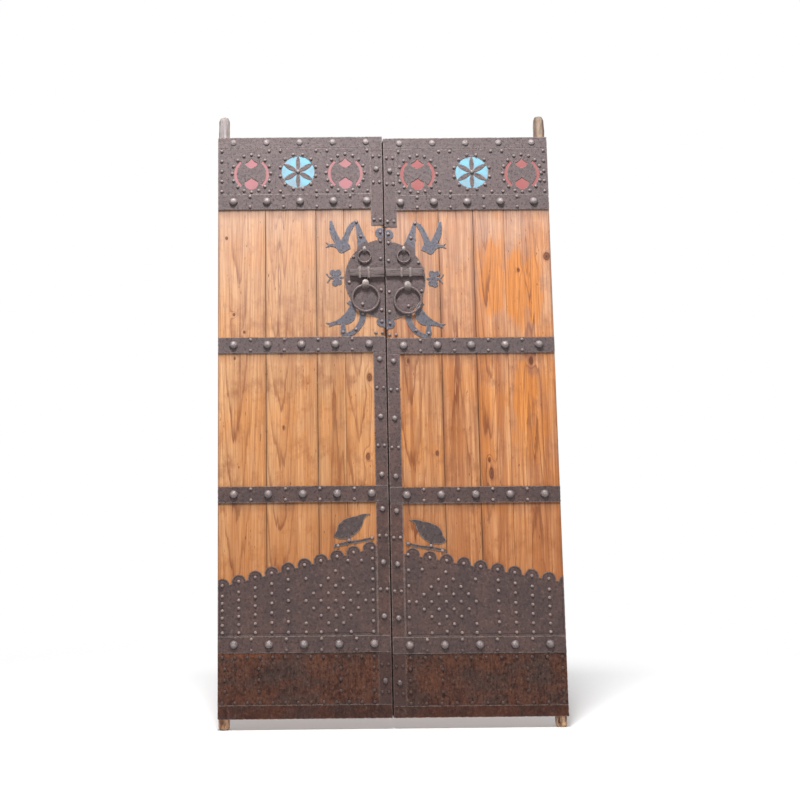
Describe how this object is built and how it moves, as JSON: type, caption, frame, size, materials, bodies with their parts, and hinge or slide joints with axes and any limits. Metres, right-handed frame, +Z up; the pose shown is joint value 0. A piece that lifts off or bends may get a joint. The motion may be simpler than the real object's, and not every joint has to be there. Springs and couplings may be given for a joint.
{
  "type": "plank door pair",
  "caption": "Pair of wooden plank door leaves clad in forged iron bands, studs, pierced panels and a split round lock plate, hung on wooden pivot pegs.",
  "frame": {"origin": "under the middle of the closed pair, level with the feet of the lower pegs", "axes": "+X to the right seen from the street, +Y inwards, the way the leaves open, +Z up"},
  "size_m": [1.257, 0.104, 2.2883],
  "materials": {
    "plank_wood": "dry, worn and bare",
    "batten_wood": "rough sawn and bare",
    "peg_wood": "weathered grey, worn",
    "dark_iron": "hand-forged, dark and waxed",
    "worn_iron": "hand-forged, rubbed smooth",
    "rusty_iron": "rusty, scratched",
    "painted_backing": "matt paint, red and light blue"
  },
  "bodies": {
    "pivot_pegs": {"left_upper_peg": "peg_wood", "left_lower_peg": "peg_wood", "right_upper_peg": "peg_wood", "right_lower_peg": "peg_wood"},
    "left_leaf": {"left_plank_1": "plank_wood", "left_plank_2": "plank_wood", "left_plank_3": "plank_wood", "left_plank_4": "plank_wood", "left_back_battens": "batten_wood", "left_top_edge_strap": "dark_iron", "left_upper_band": "dark_iron", "left_middle_band": "dark_iron", "left_lower_band": "dark_iron", "left_bottom_band": "dark_iron", "left_foot_strap": "rusty_iron", "left_meeting_strips": "dark_iron", "left_pierced_panel": "dark_iron", "left_painted_backing": "painted_backing", "left_kick_plate": "rusty_iron", "left_scalloped_plate": "dark_iron", "left_lock_plate": "dark_iron", "left_swallow": "dark_iron", "left_butterfly": "dark_iron", "left_perched_bird": "dark_iron", "left_branch_bird": "dark_iron", "left_dome_studs": "dark_iron", "left_nails": "dark_iron", "left_saddle_staples": "worn_iron", "left_keeper_channel": "worn_iron"},
    "right_leaf": {"right_plank_1": "plank_wood", "right_plank_2": "plank_wood", "right_plank_3": "plank_wood", "right_plank_4": "plank_wood", "right_back_battens": "batten_wood", "right_top_edge_strap": "dark_iron", "right_upper_band": "dark_iron", "right_middle_band": "dark_iron", "right_lower_band": "dark_iron", "right_bottom_band": "dark_iron", "right_foot_strap": "rusty_iron", "right_meeting_strips": "dark_iron", "right_pierced_panel": "dark_iron", "right_painted_backing": "painted_backing", "right_kick_plate": "rusty_iron", "right_scalloped_plate": "dark_iron", "right_lock_plate": "dark_iron", "right_swallow": "dark_iron", "right_butterfly": "dark_iron", "right_perched_bird": "dark_iron", "right_branch_bird": "dark_iron", "right_dome_studs": "dark_iron", "right_nails": "dark_iron", "right_saddle_staples": "worn_iron"},
    "right_bolt": {"right_door_bolt": "worn_iron"},
    "left_large_ring_body": {"left_large_ring": "worn_iron"},
    "left_small_ring_body": {"left_small_ring": "worn_iron"},
    "right_large_ring_body": {"right_large_ring": "worn_iron"},
    "right_small_ring_body": {"right_small_ring": "worn_iron"}
  },
  "joints": [
    {"name": "left_leaf_swing", "type": "hinge", "parent": "pivot_pegs", "child": "left_leaf", "pos_m": [-0.606, -0.00828, 0.04], "axis": [0, 0, 1], "range_deg": [0, 100]},
    {"name": "right_leaf_swing", "type": "hinge", "parent": "pivot_pegs", "child": "right_leaf", "pos_m": [0.606, -0.00828, 0.04], "axis": [0, 0, -1], "range_deg": [0, 100]},
    {"name": "left_large_ring_swing", "type": "hinge", "parent": "left_leaf", "child": "left_large_ring_body", "pos_m": [-0.074, -0.0425, 1.6191], "axis": [-1, 0, 0], "range_deg": [0, 100]},
    {"name": "left_small_ring_swing", "type": "hinge", "parent": "left_leaf", "child": "left_small_ring_body", "pos_m": [-0.076, -0.04052, 1.7541], "axis": [-1, 0, 0], "range_deg": [0, 100]},
    {"name": "right_large_ring_swing", "type": "hinge", "parent": "right_leaf", "child": "right_large_ring_body", "pos_m": [0.084, -0.0425, 1.6091], "axis": [-1, 0, 0], "range_deg": [0, 100]},
    {"name": "right_small_ring_swing", "type": "hinge", "parent": "right_leaf", "child": "right_small_ring_body", "pos_m": [0.072, -0.04052, 1.7531], "axis": [-1, 0, 0], "range_deg": [0, 100]},
    {"name": "bolt_slide", "type": "slide", "parent": "right_leaf", "child": "right_bolt", "axis": [-1, 0, 0], "range_m": [0, 0.03]}
  ]
}
